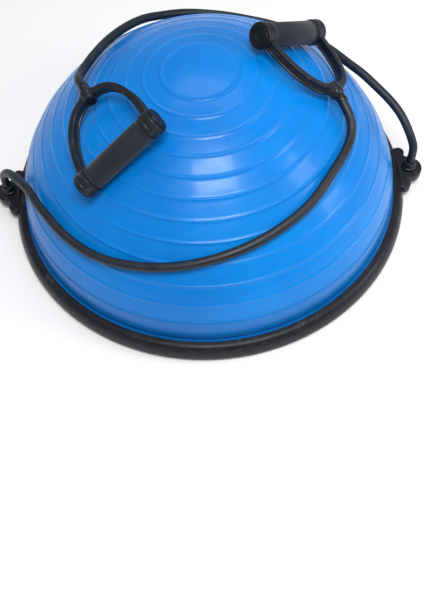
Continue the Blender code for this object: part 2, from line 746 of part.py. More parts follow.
def sleeve_outline():
    inner = SLEEVE_RADIUS - SLEEVE_ROUND
    shoulder = SLEEVE_HALF - SLEEVE_ROUND
    return (
        (SLEEVE_BORE, -SLEEVE_HALF), (inner, -SLEEVE_HALF), (SLEEVE_RADIUS, -shoulder),
        (SLEEVE_RADIUS, shoulder), (inner, SLEEVE_HALF), (SLEEVE_BORE, SLEEVE_HALF),
    )


def build():
    clear_scene()
    build_platform()
    build_ring()
    build_feet_and_screws()
    build_bladder()
    build_valve()
    build_lug(1, "right")
    build_lug(-1, "left")
    build_tube("pull_tube_front", FRONT_TUBE_ROUTE, RIGHT_HUB, RIGHT_REACH)
    build_tube("pull_tube_back", BACK_TUBE_ROUTE, LEFT_HUB, LEFT_REACH)
    build_handle("left", LEFT_HUB, LEFT_REACH, LEFT_ALONG)
    build_handle("right", RIGHT_HUB, RIGHT_REACH, RIGHT_ALONG)


build()
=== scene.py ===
import json
import math

import bmesh
import bpy
from mathutils import Matrix, Vector


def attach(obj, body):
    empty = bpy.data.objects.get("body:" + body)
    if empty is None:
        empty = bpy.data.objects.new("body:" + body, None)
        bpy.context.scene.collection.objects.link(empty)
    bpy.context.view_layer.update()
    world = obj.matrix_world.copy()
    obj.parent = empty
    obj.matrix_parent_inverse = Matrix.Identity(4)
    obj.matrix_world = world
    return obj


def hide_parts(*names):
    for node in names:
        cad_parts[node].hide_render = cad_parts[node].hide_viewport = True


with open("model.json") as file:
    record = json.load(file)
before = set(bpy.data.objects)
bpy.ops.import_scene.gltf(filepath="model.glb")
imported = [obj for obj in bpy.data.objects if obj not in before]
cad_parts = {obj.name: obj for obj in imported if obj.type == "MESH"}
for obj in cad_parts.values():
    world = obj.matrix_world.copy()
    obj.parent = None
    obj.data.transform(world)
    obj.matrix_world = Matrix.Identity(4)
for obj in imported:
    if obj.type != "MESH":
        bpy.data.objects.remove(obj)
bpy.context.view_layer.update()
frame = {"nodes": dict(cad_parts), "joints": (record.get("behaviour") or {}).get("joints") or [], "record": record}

MM = 0.001
JOINTS = {joint["name"]: joint for joint in frame["joints"]}

# ---- camera, in the part's frame
CAMERA_PLACE = (0.0153, -0.7298, 0.9242)
CAMERA_AIM = (-0.0013, -0.2595, 0.1000)
CAMERA_ROLL = -5.01
CAMERA_LENS = 44.203
CAMERA_SENSOR = 36.0
CAMERA_NEAR = 0.02

# ---- pull tubes: centre line points in millimetres, from the lug to the handle
EYE_DISTANCE = 310 * MM
TUBE_DIAMETER = 12.5 * MM
TUBE_SMOOTHNESS = 10
FRONT_TUBE_ROUTE = (
    (-310, 0, 40), (-310, 0, 48), (-309, -1, 56), (-305, -5, 69), (-294, -16, 85), (-278, -36, 99),
    (-254, -69, 111), (-229, -113, 123), (-188, -168, 127), (-139, -207, 131), (-75, -230, 140),
    (-10, -233, 150), (59, -215, 160), (124, -174, 170), (170, -114, 177), (189, -80, 178),
    (195, -60, 183), (193, -45, 193),
)
BACK_TUBE_ROUTE = (
    (310, 0, 40), (310, 0, 48), (310, 0, 56), (309, 4, 70), (301, 18, 88), (290, 38, 102),
    (276, 58, 111), (258, 79, 119), (239, 99, 127), (223, 119, 128), (202, 156, 122),
    (180, 192, 113), (148, 221, 108), (114, 240, 109), (81, 249, 113), (41, 252, 122),
    (2, 251, 130), (-27, 243, 139), (-55, 226, 151), (-83, 201, 167), (-106, 167, 183),
    (-128, 127, 197), (-146, 88, 206), (-158, 57, 211), (-163, 33, 218), (-161, 12, 229),
)

# ---- dome
DOME_HEIGHT = 250 * MM
DOME_RADIUS = 279 * MM
DOME_EQUATOR = 32 * MM
DOME_TOP_PULL = 126 * MM
DOME_SIDE_PULL = 136 * MM
DOME_SAMPLES = 480
DOME_STEPS = 256
RIB_COUNT = 12
RIB_FIRST = 52 * MM
RIB_PITCH = 24.7 * MM
RIB_GROWTH = 0.5 * MM
RIB_WIDTH = 1.9 * MM
RIB_HEIGHT = 0.55 * MM
RIB_STEPS = 6
RIB_ROUNDNESS = 1.3
STEPS_TO_FIRST_RIB = 8
STEPS_BETWEEN_RIBS = 6
INNER_STEPS = 24
SKIN = 2.2 * MM
BEAD_RADIUS = 290 * MM
BEAD_TOP = 23.7 * MM
BLADDER_BOTTOM = 20.3 * MM
VALVE_HOLE_RADIUS = 8.8 * MM
INNER_FLOOR = 22.5 * MM
TUCK = ((0.2789, 0.0300), (0.2784, 0.0280), (0.2774, 0.0260), (0.2768, 0.0237))

# ---- ring outline in (radius, height)
RING_OUTLINE = (
    (0.2832, 0.0242), (0.2832, 0.0274), (0.2835, 0.0280), (0.2841, 0.0282), (0.2850, 0.0281),
    (0.2854, 0.0277), (0.2860, 0.0276), (0.2880, 0.0277), (0.2905, 0.0270), (0.2930, 0.0255),
    (0.2950, 0.0233), (0.2968, 0.0205), (0.2982, 0.0173), (0.2992, 0.0140), (0.2998, 0.0107),
    (0.3000, 0.0075), (0.2995, 0.0052), (0.2986, 0.0039), (0.2975, 0.0035), (0.2740, 0.0035),
    (0.2740, 0.0055), (0.2905, 0.0055), (0.2905, 0.0242),
)
RING_STEPS = 256

# ---- handle, in its own frame: x from hub to grip, y along the grip, z away from the dome
GRIP_DISTANCE = 107 * MM
ARM_HALF_SPAN = 56.5 * MM
ARM_START = 6.5 * MM
ARM_END = GRIP_DISTANCE - 14.5 * MM
ARM_STEPS = 72
ARM_ROUNDNESS = 0.80
HUB_BALL = 10.0 * MM
TUBE_END_GAP = 0.4 * MM
HUB_STEPS = 22
HUB_END_DEGREES = 20
HUB_POCKET_RADIUS = 6.0 * MM
HUB_POCKET_SIDES = 60
HUB_POCKET_START = 5.0 * MM
HUB_POCKET_END = 60 * MM
SHOULDER_HALF_THICKNESS = 5.6 * MM
SHOULDER_EDGE = 1.2 * MM
SHOULDER_OUTLINE = (
    (-0.0055, 0.0070), (-0.0035, 0.0083), (-0.0015, 0.0098), (0.0003, 0.0117), (0.0020, 0.0140),
    (0.0038, 0.0169), (0.0055, 0.0200), (0.0086, 0.0190), (0.0065, 0.0080),
)


SHARP_EDGE_DEGREES = 35


def smooth_mesh(name, points, faces):
    mesh = bpy.data.meshes.new(name)
    mesh.from_pydata([tuple(point) for point in points], [], [tuple(face) for face in faces])
    mesh.validate()
    tool = bmesh.new()
    tool.from_mesh(mesh)
    bmesh.ops.recalc_face_normals(tool, faces=tool.faces[:])
    tool.to_mesh(mesh)
    tool.free()
    mesh.shade_smooth()
    mesh.set_sharp_from_angle(angle=math.radians(SHARP_EDGE_DEGREES))
    made = bpy.data.objects.new(name, mesh)
    bpy.context.scene.collection.objects.link(made)
    return made


def lathe(outline, steps, closed=False):
    # Turns an outline of (radius, height) about Z.
    points = []
    rows = []
    for radius, height in outline:
        if radius == 0.0:
            rows.append([len(points)] * steps)
            points.append((0.0, 0.0, height))
            continue
        row = []
        for step in range(steps):
            angle = 2 * math.pi * step / steps
            row.append(len(points))
            points.append((radius * math.cos(angle), radius * math.sin(angle), height))
        rows.append(row)
    faces = []
    pairs = len(rows) if closed else len(rows) - 1
    for index in range(pairs):
        low = rows[index]
        high = rows[(index + 1) % len(rows)]
        for step in range(steps):
            after = (step + 1) % steps
            face = []
            for corner in (low[step], low[after], high[after], high[step]):
                if corner not in face:
                    face.append(corner)
            if len(face) > 2:
                faces.append(face)
    return points, faces


def turned(name, outline, steps, closed=False, matrix=None):
    points, faces = lathe(outline, steps, closed)
    if matrix is not None:
        points = [matrix @ Vector(point) for point in points]
    return smooth_mesh(name, points, faces)


def joined(name, shapes):
    points = []
    faces = []
    for shape_points, shape_faces in shapes:
        start = len(points)
        points.extend(shape_points)
        faces.extend([[start + corner for corner in face] for face in shape_faces])
    return smooth_mesh(name, points, faces)


def placed(shape, matrix):
    points, faces = shape
    return [matrix @ Vector(point) for point in points], faces


# ---------------------------------------------------------------- materials


def start_material(name):
    made = bpy.data.materials.new(name)
    made.use_nodes = True
    nodes = made.node_tree.nodes
    links = made.node_tree.links
    shader = nodes["Principled BSDF"]
    where = nodes.new("ShaderNodeTexCoord")
    return made, nodes, links, shader, where.outputs["Object"]


def noise(nodes, links, where, scale, detail=3.0, stretch=None):
    made = nodes.new("ShaderNodeTexNoise")
    made.inputs["Scale"].default_value = scale
    made.inputs["Detail"].default_value = detail
    if stretch:
        mapping = nodes.new("ShaderNodeMapping")
        mapping.inputs["Scale"].default_value = stretch
        links.new(where, mapping.inputs["Vector"])
        where = mapping.outputs["Vector"]
    links.new(where, made.inputs["Vector"])
    return made.outputs["Fac"]


def ramp(nodes, links, source, stops):
    made = nodes.new("ShaderNodeValToRGB")
    while len(made.color_ramp.elements) < len(stops):
        made.color_ramp.elements.new(0.5)
    for element, (place, colour) in zip(made.color_ramp.elements, stops):
        element.position = place
        element.color = (*colour, 1.0)
    links.new(source, made.inputs["Fac"])
    return made.outputs["Color"]


def span(nodes, links, source, low, high, start=0.3, end=0.7):
    made = nodes.new("ShaderNodeMapRange")
    made.inputs["From Min"].default_value = start
    made.inputs["From Max"].default_value = end
    made.inputs["To Min"].default_value = low
    made.inputs["To Max"].default_value = high
    links.new(source, made.inputs["Value"])
    return made.outputs["Result"]


def bump(nodes, links, source, depth, strength=1.0, before=None):
    made = nodes.new("ShaderNodeBump")
    made.inputs["Distance"].default_value = depth
    made.inputs["Strength"].default_value = strength
    links.new(source, made.inputs["Height"])
    if before is not None:
        links.new(before, made.inputs["Normal"])
    return made.outputs["Normal"]


def mixed(nodes, links, first, second, share):
    made = nodes.new("ShaderNodeMix")
    made.data_type = "RGBA"
    made.inputs["Factor"].default_value = 0.5
    links.new(share, made.inputs["Factor"])
    for socket, value in ((made.inputs[6], first), (made.inputs[7], second)):
        if isinstance(value, tuple):
            socket.default_value = (*value, 1.0)
        else:
            links.new(value, socket)
    return made.outputs[2]


def moulded(name, dark, light, rough, grain=900.0, grain_depth=0.00006, worn=None, coat=0.0):
    # Moulded black plastic or rubber: blotchy tone, fine grain, and lighter scuffs where worn is given.
    made, nodes, links, shader, where = start_material(name)
    blotch = noise(nodes, links, where, 28.0, 4.0)
    colour = ramp(nodes, links, blotch, ((0.30, dark), (0.72, light)))
    fine = noise(nodes, links, where, grain, 2.0)
    scuff = noise(nodes, links, where, 90.0, 6.0, (1.0, 0.35, 2.2))
    if worn:
        mask = span(nodes, links, scuff, 0.0, 1.0, 0.60, 0.72)
        colour = mixed(nodes, links, colour, worn, mask)
    links.new(colour, shader.inputs["Base Color"])
    links.new(span(nodes, links, scuff, rough[0], rough[1]), shader.inputs["Roughness"])
    first = bump(nodes, links, fine, grain_depth, 0.7)
    wavy = noise(nodes, links, where, 45.0, 2.0)
    links.new(bump(nodes, links, wavy, 0.0003, 0.35, first), shader.inputs["Normal"])
    shader.inputs["Coat Weight"].default_value = coat
    shader.inputs["Coat Roughness"].default_value = 0.25
    shader.inputs["Specular IOR Level"].default_value = 0.32
    return made


def vinyl(name):
    # Stretched glossy vinyl: deep blue, cloudy tone, painted shade as a darker band near the ring, light orange
    # peel.
    made, nodes, links, shader, where = start_material(name)
    cloud = noise(nodes, links, where, 5.5, 3.0)
    base = ramp(nodes, links, cloud, (
        (0.28, (0.0001, 0.165, 0.560)), (0.55, (0.0002, 0.205, 0.660)), (0.75, (0.0004, 0.245, 0.740))))
    streak = noise(nodes, links, where, 38.0, 5.0, (1.0, 1.0, 3.0))
    haze = span(nodes, links, streak, 0.0, 0.10, 0.55, 0.80)
    base = mixed(nodes, links, base, (0.004, 0.270, 0.740), haze)
    parts = nodes.new("ShaderNodeSeparateXYZ")
    links.new(where, parts.inputs["Vector"])
    # Painted shade: the blue is mixed towards dark navy from 75 mm height down to 30 mm, standing in for the shade
    # where the dome curves under to the ring.
    low = span(nodes, links, parts.outputs["Z"], 0.55, 0.0, 0.030, 0.075)
    base = mixed(nodes, links, base, (0.0004, 0.075, 0.270), low)
    links.new(base, shader.inputs["Base Color"])
    links.new(span(nodes, links, streak, 0.24, 0.40), shader.inputs["Roughness"])
    peel = noise(nodes, links, where, 420.0, 2.0)
    first = bump(nodes, links, peel, 0.00003, 0.5)
    slack = noise(nodes, links, where, 7.0, 2.0)
    links.new(bump(nodes, links, slack, 0.0025, 0.30, first), shader.inputs["Normal"])
    shader.inputs["Coat Weight"].default_value = 0.12
    shader.inputs["Coat Roughness"].default_value = 0.10
    shader.inputs["Specular IOR Level"].default_value = 0.22
    return made


def latex(name):
    # Extruded rubber tube: satin charcoal with a pale bloom in patches.
    made, nodes, links, shader, where = start_material(name)
    blotch = noise(nodes, links, where, 60.0, 5.0)
    colour = ramp(nodes, links, blotch, (
        (0.32, (0.0043, 0.0069, 0.0119)), (0.70, (0.0088, 0.0145, 0.0251))))
    bloom = noise(nodes, links, where, 16.0, 4.0)
    dust = span(nodes, links, bloom, 0.0, 0.35, 0.55, 0.75)
    colour = mixed(nodes, links, colour, (0.0225, 0.0343, 0.0546), dust)
    links.new(colour, shader.inputs["Base Color"])
    links.new(span(nodes, links, blotch, 0.38, 0.56), shader.inputs["Roughness"])
    fine = noise(nodes, links, where, 1500.0, 2.0)
    links.new(bump(nodes, links, fine, 0.00005, 0.6), shader.inputs["Normal"])
    shader.inputs["Specular IOR Level"].default_value = 0.45
    return made


def foam(name):
    # Closed-cell foam grip: matte, pitted skin, with painted shade darkening the pits.
    made, nodes, links, shader, where = start_material(name)
    blotch = noise(nodes, links, where, 70.0, 4.0)
    colour = ramp(nodes, links, blotch, (
        (0.30, (0.0053, 0.0083, 0.0141)), (0.72, (0.0115, 0.0178, 0.0295))))
    cells = nodes.new("ShaderNodeTexVoronoi")
    cells.inputs["Scale"].default_value = 1100.0
    links.new(where, cells.inputs["Vector"])
    # Painted shade: the colour goes darker towards the middle of each cell, where the bump sinks into a pit.
    painted_pit_shade = span(nodes, links, cells.outputs["Distance"], 0.0, 1.0, 0.05, 0.45)
    colour = mixed(nodes, links, (0.0040, 0.0059, 0.0097), colour, painted_pit_shade)
    links.new(colour, shader.inputs["Base Color"])
    links.new(span(nodes, links, blotch, 0.70, 0.88), shader.inputs["Roughness"])
    first = bump(nodes, links, cells.outputs["Distance"], 0.00016, 0.7)
    lumps = noise(nodes, links, where, 120.0, 2.0)
    links.new(bump(nodes, links, lumps, 0.0004, 0.3, first), shader.inputs["Normal"])
    shader.inputs["Sheen Weight"].default_value = 0.15
    shader.inputs["Sheen Roughness"].default_value = 0.5
    shader.inputs["Specular IOR Level"].default_value = 0.3
    return made


def steel(name):
    made, nodes, links, shader, where = start_material(name)
    brushed = noise(nodes, links, where, 700.0, 3.0, (1.0, 6.0, 1.0))
    stain = noise(nodes, links, where, 260.0, 4.0)
    colour = ramp(nodes, links, stain, ((0.35, (0.16, 0.16, 0.17)), (0.65, (0.42, 0.42, 0.43))))
    links.new(colour, shader.inputs["Base Color"])
    links.new(span(nodes, links, brushed, 0.28, 0.50), shader.inputs["Roughness"])
    links.new(bump(nodes, links, brushed, 0.00003, 0.5), shader.inputs["Normal"])
    shader.inputs["Metallic"].default_value = 1.0
    return made


def floor_paint(name):
    made, nodes, links, shader, where = start_material(name)
    tone = noise(nodes, links, where, 1.2, 3.0)
    colour = ramp(nodes, links, tone, ((0.3, (0.90, 0.90, 0.90)), (0.7, (0.93, 0.93, 0.93))))
    links.new(colour, shader.inputs["Base Color"])
    shader.inputs["Roughness"].default_value = 0.9
    shader.inputs["Specular IOR Level"].default_value = 0.1
    return made


MATERIALS = {
    "platform_plastic": moulded("base_grained_plastic", (0.0062, 0.0077, 0.0102), (0.0125, 0.0149, 0.0197),
                                (0.45, 0.68), 1400.0, 0.00012, (0.0264, 0.0303, 0.0388)),
    "dome_vinyl": vinyl("blue_vinyl"),
    "ring_plastic": moulded("ring_black_plastic", (0.0041, 0.0050, 0.0071), (0.0082, 0.0099, 0.0139),
                            (0.34, 0.52), 1100.0, 0.00008, (0.0288, 0.0330, 0.0408)),
    "valve_rubber": moulded("valve_seat_rubber", (0.0077, 0.0088, 0.0116), (0.0144, 0.0165, 0.0218),
                            (0.55, 0.75)),
    "foot_rubber": moulded("foot_rubber_grain", (0.0067, 0.0077, 0.0102), (0.0144, 0.0165, 0.0211),
                           (0.70, 0.90), 1600.0, 0.00015, (0.0360, 0.0401, 0.0476)),
    "screw_steel": steel("screw_dark_steel"),
    "lug_plastic": moulded("lug_black_plastic", (0.0041, 0.0052, 0.0075), (0.0091, 0.0110, 0.0156),
                           (0.30, 0.50), 1100.0, 0.00007, (0.0264, 0.0308, 0.0394)),
    "collar_plastic": moulded("collar_satin_plastic", (0.0043, 0.0055, 0.0082), (0.0096, 0.0118, 0.0167),
                              (0.24, 0.42), 1300.0, 0.00004, (0.0240, 0.0286, 0.0381), 0.15),
    "tube_rubber": latex("tube_satin_latex"),
    "handle_plastic": moulded("handle_satin_plastic", (0.0048, 0.0063, 0.0099), (0.0103, 0.0132, 0.0197),
                              (0.30, 0.48), 1200.0, 0.00006, (0.0288, 0.0352, 0.0476), 0.10),
    "grip_foam": foam("grip_pitted_foam"),
    "cap_plastic": moulded("cap_black_plastic", (0.0026, 0.0033, 0.0048), (0.0058, 0.0072, 0.0102),
                           (0.35, 0.55)),
    "plug_plastic": moulded("plug_black_plastic", (0.0026, 0.0033, 0.0048), (0.0062, 0.0077, 0.0109),
                            (0.30, 0.50)),
}


def dress(piece, slot_name):
    piece.data.materials.clear()
    piece.data.materials.append(MATERIALS[slot_name])


def show(piece, slot_name, body, *nodes):
    dress(piece, slot_name)
    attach(piece, body)
    if nodes:
        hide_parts(*nodes)


# ---------------------------------------------------------------- camera and cords


def make_camera():
    lens = bpy.data.cameras.new("photo_camera")
    lens.lens = CAMERA_LENS
    lens.sensor_width = CAMERA_SENSOR
    lens.clip_start = CAMERA_NEAR
    camera = bpy.data.objects.new("photo_camera", lens)
    bpy.context.scene.collection.objects.link(camera)
    ahead = (Vector(CAMERA_AIM) - Vector(CAMERA_PLACE)).normalized()
    turn = ahead.to_track_quat("-Z", "Y").to_matrix().to_4x4()
    camera.matrix_world = (
        Matrix.Translation(CAMERA_PLACE) @ turn @ Matrix.Rotation(math.radians(CAMERA_ROLL), 4, "Z"))
    bpy.context.scene.camera = camera


def make_tube(name, route, word):
    # A tube lies along its route and ends face to face with the hub's ball.
    hub, reach = handle_frame(word)[:2]
    points = [Vector(point) * MM for point in route]
    points.append(hub - reach * (HUB_BALL + TUBE_END_GAP))
    curve = bpy.data.curves.new(name, "CURVE")
    curve.dimensions = "3D"
    curve.bevel_depth = TUBE_DIAMETER / 2
    curve.bevel_resolution = TUBE_SMOOTHNESS
    curve.resolution_u = TUBE_SMOOTHNESS
    curve.use_fill_caps = True
    line = curve.splines.new("BEZIER")
    line.bezier_points.add(len(points) - 1)
    padded = [points[0] * 2 - points[1]] + points + [points[-1] * 2 - points[-2]]
    for index, point in enumerate(points):
        knot = line.bezier_points[index]
        slope = (padded[index + 2] - padded[index]) / 6
        knot.co = point
        knot.handle_left = point - slope
        knot.handle_right = point + slope
    line.use_smooth = True
    tube = bpy.data.objects.new(name + "_latex", curve)
    bpy.context.scene.collection.objects.link(tube)
    show(tube, "tube_rubber", "base", name)


def handle_frame(word):
    hub = Vector(JOINTS[word + "_handle_lift"]["pos_m"])
    grip = Vector(JOINTS[word + "_grip_spin"]["pos_m"])
    along = Vector(JOINTS[word + "_grip_spin"]["axis"]).normalized()
    reach = (grip - hub).normalized()
    away = reach.cross(along).normalized()
    return hub, reach, along, away


def frame_matrix(x_axis, y_axis, z_axis, place):
    matrix = Matrix((x_axis, y_axis, z_axis)).transposed().to_4x4()
    matrix.translation = place
    return matrix


bpy.context.scene.view_settings.view_transform = "Standard"
make_camera()
make_tube(
    "pull_tube_front", FRONT_TUBE_ROUTE, "right")
make_tube(
    "pull_tube_back", BACK_TUBE_ROUTE, "left")


# ---------------------------------------------------------------- dome and ring


def dome_curve():
    corners = (
        Vector((0.0, DOME_HEIGHT)), Vector((DOME_TOP_PULL, DOME_HEIGHT)),
        Vector((DOME_RADIUS, DOME_SIDE_PULL)), Vector((DOME_RADIUS, DOME_EQUATOR)),
    )
    samples = []
    length = 0.0
    before = None
    for index in range(DOME_SAMPLES + 1):
        t = index / DOME_SAMPLES
        u = 1 - t
        point = (
            u**3 * corners[0] + 3 * u * u * t * corners[1]
            + 3 * u * t * t * corners[2] + t**3 * corners[3])
        slope = (
            u * u * (corners[1] - corners[0]) + 2 * u * t * (corners[2] - corners[1])
            + t * t * (corners[3] - corners[2]))
        slope.normalize()
        if before is not None:
            length += (point - before).length
        samples.append((length, point, Vector((-slope.y, slope.x))))
        before = point
    return samples


def on_dome(samples, length, height):
    for index in range(1, len(samples)):
        if samples[index][0] >= length:
            break
    start, start_point, start_out = samples[index - 1]
    end, end_point, end_out = samples[index]
    share = (length - start) / (end - start)
    raised = start_point.lerp(end_point, share) + start_out.lerp(end_out, share).normalized() * height
    return (max(raised.x, 0.0), raised.y)


def make_dome():
    samples = dome_curve()
    total = samples[-1][0]
    stations = [(RIB_FIRST * index / STEPS_TO_FIRST_RIB, 0.0) for index in range(1, STEPS_TO_FIRST_RIB)]
    places = [RIB_FIRST + RIB_PITCH * k + RIB_GROWTH * k * (k - 1) / 2 for k in range(RIB_COUNT)]
    for index, place in enumerate(places):
        for step in range(RIB_STEPS + 1):
            share = step / RIB_STEPS
            height = RIB_HEIGHT * math.sin(math.pi * share) ** RIB_ROUNDNESS
            stations.append((place + RIB_WIDTH * (share - 0.5), height))
        start = place + RIB_WIDTH * 0.5
        end = places[index + 1] - RIB_WIDTH * 0.5 if index + 1 < RIB_COUNT else total
        for step in range(1, STEPS_BETWEEN_RIBS):
            stations.append((start + (end - start) * step / STEPS_BETWEEN_RIBS, 0.0))
    outline = [(0.0, DOME_HEIGHT)]
    for length, height in stations:
        outline.append(on_dome(samples, length, height))
    outline.append((DOME_RADIUS, DOME_EQUATOR))
    outline.extend(TUCK)
    outline.extend((
        (BEAD_RADIUS, BEAD_TOP), (BEAD_RADIUS, BLADDER_BOTTOM), (VALVE_HOLE_RADIUS, BLADDER_BOTTOM),
        (VALVE_HOLE_RADIUS, INNER_FLOOR), (TUCK[-1][0] - SKIN, INNER_FLOOR)))
    for index in range(INNER_STEPS, 0, -1):
        outline.append(on_dome(samples, total * index / INNER_STEPS, -SKIN))
    outline.append((0.0, DOME_HEIGHT - SKIN))
    show(turned("inflated_dome", outline, DOME_STEPS), "dome_vinyl", "base", "dome_bladder")


def make_ring():
    ring = turned("black_ring", RING_OUTLINE, RING_STEPS, closed=True)
    show(ring, "ring_plastic", "base", "retaining_ring")


make_dome()
make_ring()


# ---------------------------------------------------------------- lugs

LUG_ARC_STEPS = 18
LUG_BOTTOM = 12.0 * MM
LUG_TOP = 25.5 * MM
LUG_INNER_RADIUS = 291.6 * MM
LUG_INNER_SWEEP = 7.4
LUG_LOBE_RADIUS = 20.0 * MM
LUG_LOBE_SWEEP = 82
SIDE_LOBE_X = 299 * MM
SIDE_LOBE_Y = 31 * MM
SIDE_LOBE_RADIUS = 9.0 * MM
SIDE_LOBE_START = -95
SIDE_LOBE_END = 32
VALLEY_X = 306.8 * MM
VALLEY_Y = 22.4 * MM
LUG_EDGE = 1.6 * MM
EDGE_DEGREES = 50
EYE_HOLE_RADIUS = 8.4 * MM
EYE_HOLE_SIDES = 36
CUT_MARGIN = 2.0 * MM
SADDLE_GAP = 0.35 * MM
SADDLE_INNER_RADIUS = 290 * MM
SADDLE_LOW = 4.0 * MM
SADDLE_HIGH = 28.4 * MM
SINK_HEIGHT = 18.6 * MM
SINK_RADIUS = 3.8 * MM
SINK_FLOOR = 304.3 * MM
SINK_MOUTH = 330 * MM


def arc(centre, radius, start, end, steps):
    points = []
    for index in range(steps + 1):
        angle = math.radians(start + (end - start) * index / steps)
        points.append((centre[0] + radius * math.cos(angle), centre[1] + radius * math.sin(angle)))
    return points


def circle(centre, radius, sides):
    return arc(centre, radius, 0, 360 - 360 / sides, sides - 1)


def lug_outline():
    start = SIDE_LOBE_START
    end = SIDE_LOBE_END
    outline = arc((SIDE_LOBE_X, -SIDE_LOBE_Y), SIDE_LOBE_RADIUS, start, end, LUG_ARC_STEPS)
    outline.append((VALLEY_X, -VALLEY_Y))
    sweep = LUG_LOBE_SWEEP
    outline.extend(arc((EYE_DISTANCE, 0.0), LUG_LOBE_RADIUS, -sweep, sweep, 3 * LUG_ARC_STEPS))
    outline.append((VALLEY_X, VALLEY_Y))
    outline.extend(arc((SIDE_LOBE_X, SIDE_LOBE_Y), SIDE_LOBE_RADIUS, -end, -start, LUG_ARC_STEPS))
    outline.extend(arc((0.0, 0.0), LUG_INNER_RADIUS, LUG_INNER_SWEEP, -LUG_INNER_SWEEP, LUG_ARC_STEPS))
    return outline


def prism(outline, low, high):
    count = len(outline)
    points = [(x, y, low) for x, y in outline] + [(x, y, high) for x, y in outline]
    faces = [list(range(count - 1, -1, -1)), list(range(count, 2 * count))]
    for index in range(count):
        after = (index + 1) % count
        faces.append([index, after, count + after, count + index])
    return points, faces


def apply_modifiers(piece):
    shape = bpy.data.meshes.new_from_object(piece.evaluated_get(bpy.context.evaluated_depsgraph_get()))
    piece.modifiers.clear()
    piece.data = shape
    piece.data.shade_smooth()
    piece.data.set_sharp_from_angle(angle=math.radians(SHARP_EDGE_DEGREES))


def combine(piece, other, operation):
    step = piece.modifiers.new(operation.lower(), "BOOLEAN")
    step.operation = operation
    step.solver = "EXACT"
    step.object = other
    bpy.context.view_layer.update()
    apply_modifiers(piece)
    bpy.data.objects.remove(other)


def cut(piece, cutter):
    combine(piece, cutter, "DIFFERENCE")


def round_edges(piece, width, segments):
    edge = piece.modifiers.new("edge", "BEVEL")
    edge.width = width
    edge.segments = segments
    edge.limit_method = "ANGLE"
    edge.angle_limit = math.radians(EDGE_DEGREES)
    bpy.context.view_layer.update()
    apply_modifiers(piece)


def saddle_outline():
    # The ring's outer face moved out a little, so that the lug sits over it without touching.
    outline = [(SADDLE_INNER_RADIUS, SADDLE_LOW)]
    for radius, height in reversed(RING_OUTLINE[2:19]):
        on_top = radius < 0.2975 and height > 0.01
        outline.append((radius + SADDLE_GAP, height + SADDLE_GAP if on_top else height))
    outline.append((SADDLE_INNER_RADIUS, SADDLE_HIGH))
    return outline


def make_lug(side, word):
    turn = Matrix.Rotation(0.0 if side > 0 else math.pi, 4, "Z")
    plate = smooth_mesh("lug_plate_" + word, *placed(prism(lug_outline(), LUG_BOTTOM, LUG_TOP), turn))
    round_edges(plate, LUG_EDGE, 4)
    eye = circle((EYE_DISTANCE, 0.0), EYE_HOLE_RADIUS, EYE_HOLE_SIDES)
    bore = prism(eye, LUG_BOTTOM - CUT_MARGIN, LUG_TOP + CUT_MARGIN)
    cut(plate, smooth_mesh("bore_" + word, *placed(bore, turn)))
    cut(plate, turned("saddle_" + word, saddle_outline(), RING_STEPS, closed=True))
    for y in (SIDE_LOBE_Y, -SIDE_LOBE_Y):
        lay = turn @ Matrix.Translation((0.0, y, SINK_HEIGHT)) @ Matrix.Rotation(math.radians(90), 4, "Y")
        sink = prism(circle((0.0, 0.0), SINK_RADIUS, EYE_HOLE_SIDES), SINK_FLOOR, SINK_MOUTH)
        cut(plate, smooth_mesh("sink", *placed(sink, lay)))
    show(plate, "lug_plastic", "base", "anchor_lug_" + word)
    at_eye = Matrix.Translation((side * EYE_DISTANCE, 0.0, 0.0))
    collar = (
        (0.0, 0.0119), (0.0080, 0.0119), (0.0080, 0.0259), (0.0104, 0.0259), (0.0111, 0.0263),
        (0.0114, 0.0270), (0.0114, 0.0292), (0.0110, 0.0301), (0.0100, 0.0307), (0.0096, 0.0312),
        (0.0094, 0.0330), (0.0091, 0.0355), (0.0089, 0.0380), (0.0085, 0.0390), (0.0079, 0.0395),
        (0.0, 0.0395),
    )
    show(turned("tube_collar_" + word, collar, 64, matrix=at_eye),
         "collar_plastic", "base", "anchor_collar_" + word)
    stop = (
        (0.0, 0.0040), (0.0035, 0.0041), (0.0058, 0.0046), (0.0078, 0.0056), (0.0090, 0.0070),
        (0.0096, 0.0090), (0.0096, 0.0106), (0.0092, 0.0115), (0.0, 0.0115),
    )
    show(turned("tube_stop_" + word, stop, 64, matrix=at_eye),
         "plug_plastic", "base", "anchor_stop_" + word)


make_lug(1, "right")
make_lug(-1, "left")


# ---------------------------------------------------------------- handles


def arm_point(angle):
    x = ARM_START + (ARM_END - ARM_START) * (1 - math.cos(angle))
    y = ARM_HALF_SPAN * abs(math.sin(angle)) ** ARM_ROUNDNESS
    return Vector((x, math.copysign(y, angle)))


def arm_section():
    # Half thickness and depth of the bow: two rounded rims with a sunk band between them.
    quarter = (
        (0.0032, 0.0), (0.0032, 0.0031), (0.0033, 0.0036), (0.0037, 0.0040), (0.0042, 0.0043),
        (0.0045, 0.0048), (0.00455, 0.0055), (0.0044, 0.0061), (0.0041, 0.0066), (0.0035, 0.0069),
        (0.0020, 0.0070), (0.0, 0.0070),
    )
    section = list(quarter)
    section += [(-x, y) for x, y in reversed(quarter[:-1])]
    section += [(-x, -y) for x, y in quarter[1:]]
    section += [(x, -y) for x, y in reversed(quarter[1:-1])]
    return section


